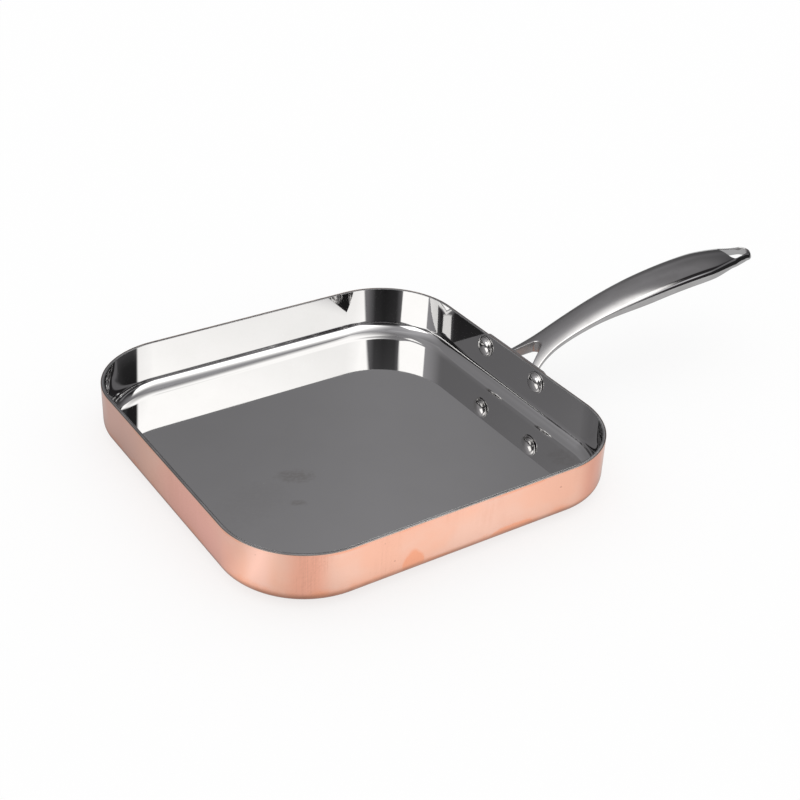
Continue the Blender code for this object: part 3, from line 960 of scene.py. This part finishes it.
studio = {
    "azimuth": math.radians(-34.63),     # where the photographer stood
    "elevation": math.radians(31.37),
    "roll": math.radians(2.76),
    "aim": (0.0621, 0.0341, 0.0),
    "distance": 0.9582,
    "lens": 63.3,
    "sensor": 36,
    "floorReach": 3.2,
    "floorLevel": -0.0003,
    "floorColour": 0.98,
    "shadowShare": 0.25,                 # how much of the floor's own shading the camera sees
    # the floor's brightness around the pan as the metal mirrors it, by heading in degrees
    "floorGlow": [(-180, 0.71), (-165, 0.75), (-155, 0.81), (-146, 1.12), (-138, 0.87), (-131, 0.79),
                  (-124, 0.87), (-114, 1.04), (-90, 1.05), (-80, 1.07), (-66, 1.02), (-55, 0.92), (-45, 0.78),
                  (-30, 0.70), (0, 0.65), (45, 0.62), (90, 0.60), (135, 0.58), (155, 0.60), (168, 0.67),
                  (180, 0.71)],
    "contact": 0.58,                     # how much darker the floor is right at the pan's foot
    "contactReach": 7.0,
    # the dim studio round the object: heading, then brightness low, half way up and overhead
    "room": [(-180, 0.60, 0.58, 0.45), (-160, 0.50, 0.55, 0.45), (-150, 0.28, 0.46, 0.42),
             (-140, 0.05, 0.36, 0.40), (-120, 0.025, 0.38, 0.40), (-105, 0.05, 0.43, 0.42),
             (-90, 0.38, 0.48, 0.45), (-75, 0.42, 0.50, 0.50), (-62, 0.25, 0.50, 0.50),
             (-54, 0.06, 0.50, 0.50), (-45, 0.035, 0.22, 0.49), (-38, 0.03, 0.06, 0.48),
             (-30, 0.03, 0.03, 0.47), (-14, 0.03, 0.03, 0.46), (-7, 0.03, 0.14, 0.46),
             (0, 0.04, 0.24, 0.46), (10, 0.08, 0.27, 0.45), (20, 0.13, 0.28, 0.44),
             (40, 0.20, 0.31, 0.42), (50, 0.275, 0.34, 0.42), (56, 0.285, 0.34, 0.42),
             (61, 0.25, 0.33, 0.42), (67, 0.23, 0.31, 0.42), (90, 0.25, 0.27, 0.40),
             (110, 0.23, 0.29, 0.42), (130, 0.27, 0.37, 0.50), (150, 0.48, 0.56, 0.60),
             (165, 0.60, 0.60, 0.50), (180, 0.60, 0.58, 0.45)],
    "roomHeights": (27.0, 48.0, 50.0, 72.0),
    "roomColour": (0.985, 0.97, 1.0),
    # darker near the ground behind the pan: headings, heights and share
    "duskHeadings": (5.0, 30.0, 90.0, 110.0),
    "duskHeights": (10.0, 23.0),
    "dusk": 0.48,
    # a faint strip of light beside the near soft box: heading and brightness, its height and reach
    "strip": [(-70, 0.0), (-62, 0.95), (-47, 0.95), (-43, 0.8), (-40.5, 0.4), (-33, 0.24), (0, 0.24),
              (8, 0.0)],
    "stripHeight": (25.5, 4.5),
    "stripEdge": 4,
    "roomRadius": 2.6,
    "roomGround": -6,
    "roomSteps": (240, 97),
    "softboxColour": (1.0, 0.992, 0.975),
    "softboxSteps": 110,
}

# two soft boxes, in metres and degrees: place, heading and height of the way they face, turn, half
# sizes, brightness, width of each soft edge, and how the brightness changes along them
softboxes = {
    "softboxNear": {"at": (0.311, -0.382, 0.412), "facing": (-159.64, 68.73), "turn": 92.17,
                    "half": (0.266, 0.370), "bright": 2.42, "soft": (0.10, 0.032, 0.30, 0.112),
                    "fade": [(-0.35, 0.855), (-0.20, 0.87), (-0.06, 0.935), (0.01, 1.0)]},
    "softboxFar": {"at": (-1.744, -0.249, 1.008), "facing": (173.7, 23.7), "turn": -30.3,
                   "half": (0.621, 0.674), "bright": 2.42, "soft": (0.06, 0.06, 0.2, 0.2),
                   "fade": [(-1.0, 1.0), (1.0, 1.0)]},
}


def eased(t):
    t = np.clip(t, 0, 1)
    return t * t * (3 - 2 * t)


def keepOnPoints(mesh, name, values):
    mesh.attributes.new(name, "FLOAT", "POINT").data.foreach_set("value", values)


def stagePiece(name, verts, faces, attribute, values):
    mesh = bpy.data.meshes.new(name)
    mesh.from_pydata([tuple(v) for v in verts], [], faces)
    keepOnPoints(mesh, attribute, values)
    obj = placeInScene(name, mesh)
    return obj


def stageMaterial(obj, name):
    material = bpy.data.materials.new(name)
    material.use_nodes = True
    material.node_tree.nodes.clear()
    obj.data.materials.append(material)
    return material.node_tree


def glowOf(tree, attribute):
    # light as strong as the value kept on each point
    glow = addNode(tree, "Emission")
    level = addNode(tree, "Attribute", attribute_name=attribute)
    tree.links.new(level.outputs["Fac"], glow.inputs["Strength"])
    return glow


def mixed(tree, share, first, second):
    mix = addNode(tree, "MixShader")
    for source, target in zip((share, first.outputs[0], second.outputs[0]), mix.inputs):
        tree.links.new(source, target)
    return mix


def showOn(tree, shader):
    tree.links.new(shader.outputs[0], addNode(tree, "OutputMaterial").inputs["Surface"])


def gridFaces(rows, columns, closed=False):
    # quads between rows of points, and round to the first column again where closed
    faces = []
    for row in range(rows - 1):
        a, b = row * columns, (row + 1) * columns
        for i in range(columns if closed else columns - 1):
            j = (i + 1) % columns
            faces.append((a + i, a + j, b + j, b + i))
    return faces


def onlyMirrored(obj):
    for ray in ("camera", "diffuse", "shadow", "transmission"):
        setattr(obj, "visible_" + ray, False)


def roomBrightness(heading, height):
    table = np.array(studio["room"])
    low, middle, high = (np.interp(heading, table[:, 0], table[:, k]) for k in (1, 2, 3))
    start, half, past, top = studio["roomHeights"]
    value = low + (middle - low) * eased((height - start) / (half - start))
    value = value + (high - value) * eased((height - past) / (top - past))
    first, full, last, gone = studio["duskHeadings"]
    low, high = studio["duskHeights"]
    dusk = (eased((heading - first) / (full - first)) * eased((gone - heading) / (gone - last))
            * eased((high - height) / (high - low)))
    value = value * (1 - studio["dusk"] * dusk)
    strip = np.array(studio["strip"])
    middle, reach = studio["stripHeight"]
    across = eased((reach - np.abs(height - middle)) / studio["stripEdge"] + 0.5)
    return np.maximum(value, np.interp(heading, strip[:, 0], strip[:, 1]) * across)


def makeRoom():
    # a dim dome that only the metal's reflections see
    around, upward = studio["roomSteps"]
    heading = np.linspace(-180, 180, around, endpoint=False)
    height = np.linspace(studio["roomGround"], 90, upward)
    grid = np.stack(np.meshgrid(heading, height), -1).reshape(-1, 2)
    a, e = np.radians(grid).T
    verts = np.stack((np.cos(a) * np.cos(e), np.sin(a) * np.cos(e), np.sin(e)), 1) * studio["roomRadius"]
    room = stagePiece("room", verts, gridFaces(upward, around, closed=True),
                      "bright", roomBrightness(grid[:, 0], grid[:, 1]))
    tree = stageMaterial(room, "roomWalls")
    glow = glowOf(tree, "bright")
    glow.inputs["Color"].default_value = (*studio["roomColour"], 1.0)
    showOn(tree, glow)
    onlyMirrored(room)


def makeSoftbox(name, values):
    # a lit panel with soft edges, seen by the metal alone
    a, e = (math.radians(angle) for angle in values["facing"])
    turn = math.radians(values["turn"])
    away = np.array((math.cos(a) * math.cos(e), math.sin(a) * math.cos(e), math.sin(e)))
    flat = np.array((-math.sin(a), math.cos(a), 0.0))
    rise = np.cross(away, flat)
    across = flat * math.cos(turn) + rise * math.sin(turn)
    along = rise * math.cos(turn) - flat * math.sin(turn)
    halfAcross, halfAlong = values["half"]
    right, left, far, near = values["soft"]
    steps = studio["softboxSteps"]
    u = np.linspace(-halfAcross - left / 2, halfAcross + right / 2, steps)
    v = np.linspace(-halfAlong - near / 2, halfAlong + far / 2, steps)
    u, v = (grid.ravel() for grid in np.meshgrid(u, v))
    share = (eased((halfAcross - u) / right + 0.5) * eased((halfAcross + u) / left + 0.5)
             * eased((halfAlong - v) / far + 0.5) * eased((halfAlong + v) / near + 0.5))
    verts = np.array(values["at"]) + u[:, None] * across + v[:, None] * along
    places, levels = np.array(values["fade"]).T
    box = stagePiece(name, verts, gridFaces(steps, steps), "share", share)
    keepOnPoints(box.data, "bright", values["bright"] * np.interp(v, places, levels))
    tree = stageMaterial(box, name + "Light")
    glow = glowOf(tree, "bright")
    glow.inputs["Color"].default_value = (*studio["softboxColour"], 1.0)
    edge = addNode(tree, "Attribute", attribute_name="share")
    showOn(tree, mixed(tree, edge.outputs["Fac"], addNode(tree, "BsdfTransparent"), glow))
    onlyMirrored(box)


def floorBrightness(x, y):
    heading, glow = np.array(studio["floorGlow"]).T
    value = np.interp(np.degrees(np.arctan2(y, x)), heading, glow)
    radius = pan["cornerRadius"] * mm
    middle = pan["side"] / 2 * mm - radius
    toPan = np.hypot(np.maximum(np.abs(x) - middle, 0), np.maximum(np.abs(y) - middle, 0)) - radius
    return value * (1 - studio["contact"] * np.exp(-np.maximum(toPan, 0) / (studio["contactReach"] * mm)))


def makeFloor():
    heading = np.linspace(-math.pi, math.pi, 180, endpoint=False)
    # close rings of points round the pan, wide ones beyond
    beyond = np.geomspace(0.42, studio["floorReach"], 14)
    reach = np.concatenate(([0.001], np.linspace(0.08, 0.40, 65), beyond))
    r, a = (grid.ravel() for grid in np.meshgrid(reach, heading, indexing="ij"))
    x, y = r * np.cos(a), r * np.sin(a)
    verts = np.stack((x, y, np.full(len(x), studio["floorLevel"])), 1)
    faces = gridFaces(len(reach), len(heading), closed=True) + [tuple(range(len(heading)))]
    floor = stagePiece("floor", verts, faces, "glow", floorBrightness(x, y))
    tree = stageMaterial(floor, "paleFloor")
    shade = addNode(tree, "BsdfDiffuse")
    shade.inputs["Color"].default_value = (studio["floorColour"],) * 3 + (1,)
    # white to the camera apart from some shade, and its own glow to the metal
    path = addNode(tree, "LightPath")
    direct = mathNode(tree, "MAXIMUM", path.outputs["Is Camera Ray"], path.outputs["Is Transmission Ray"])
    white = times(tree, direct, 1 - studio["shadowShare"])
    seen = mixed(tree, white, shade, addNode(tree, "Emission"))
    showOn(tree, mixed(tree, path.outputs["Is Glossy Ray"], seen, glowOf(tree, "glow")))


def makeCamera():
    a, e, roll = studio["azimuth"], studio["elevation"], studio["roll"]
    back = Vector((math.sin(a) * math.cos(e), -math.cos(a) * math.cos(e), math.sin(e)))
    right = Vector((math.cos(a), math.sin(a), 0))
    up = back.cross(right)
    tiltedRight = right * math.cos(roll) + up * math.sin(roll)
    tiltedUp = up * math.cos(roll) - right * math.sin(roll)
    camera = placeInScene("camera", bpy.data.cameras.new("camera"))
    turn = Matrix((tiltedRight, tiltedUp, back)).transposed().to_4x4()
    camera.matrix_world = Matrix.Translation(Vector(studio["aim"]) + back * studio["distance"]) @ turn
    camera.data.lens = studio["lens"]
    camera.data.sensor_width = studio["sensor"]
    camera.data.clip_start = 0.01
    bpy.context.scene.camera = camera


makeRoom()
for name, values in softboxes.items():
    makeSoftbox(name, values)
makeFloor()
makeCamera()
world = bpy.data.worlds.new("studio")
bpy.context.scene.world = world
world.use_nodes = True
world.node_tree.nodes["Background"].inputs["Color"].default_value = (1, 1, 1, 1)
world.node_tree.nodes["Background"].inputs["Strength"].default_value = 1.0
bpy.context.scene.view_settings.view_transform = "Standard"
print("studio made")
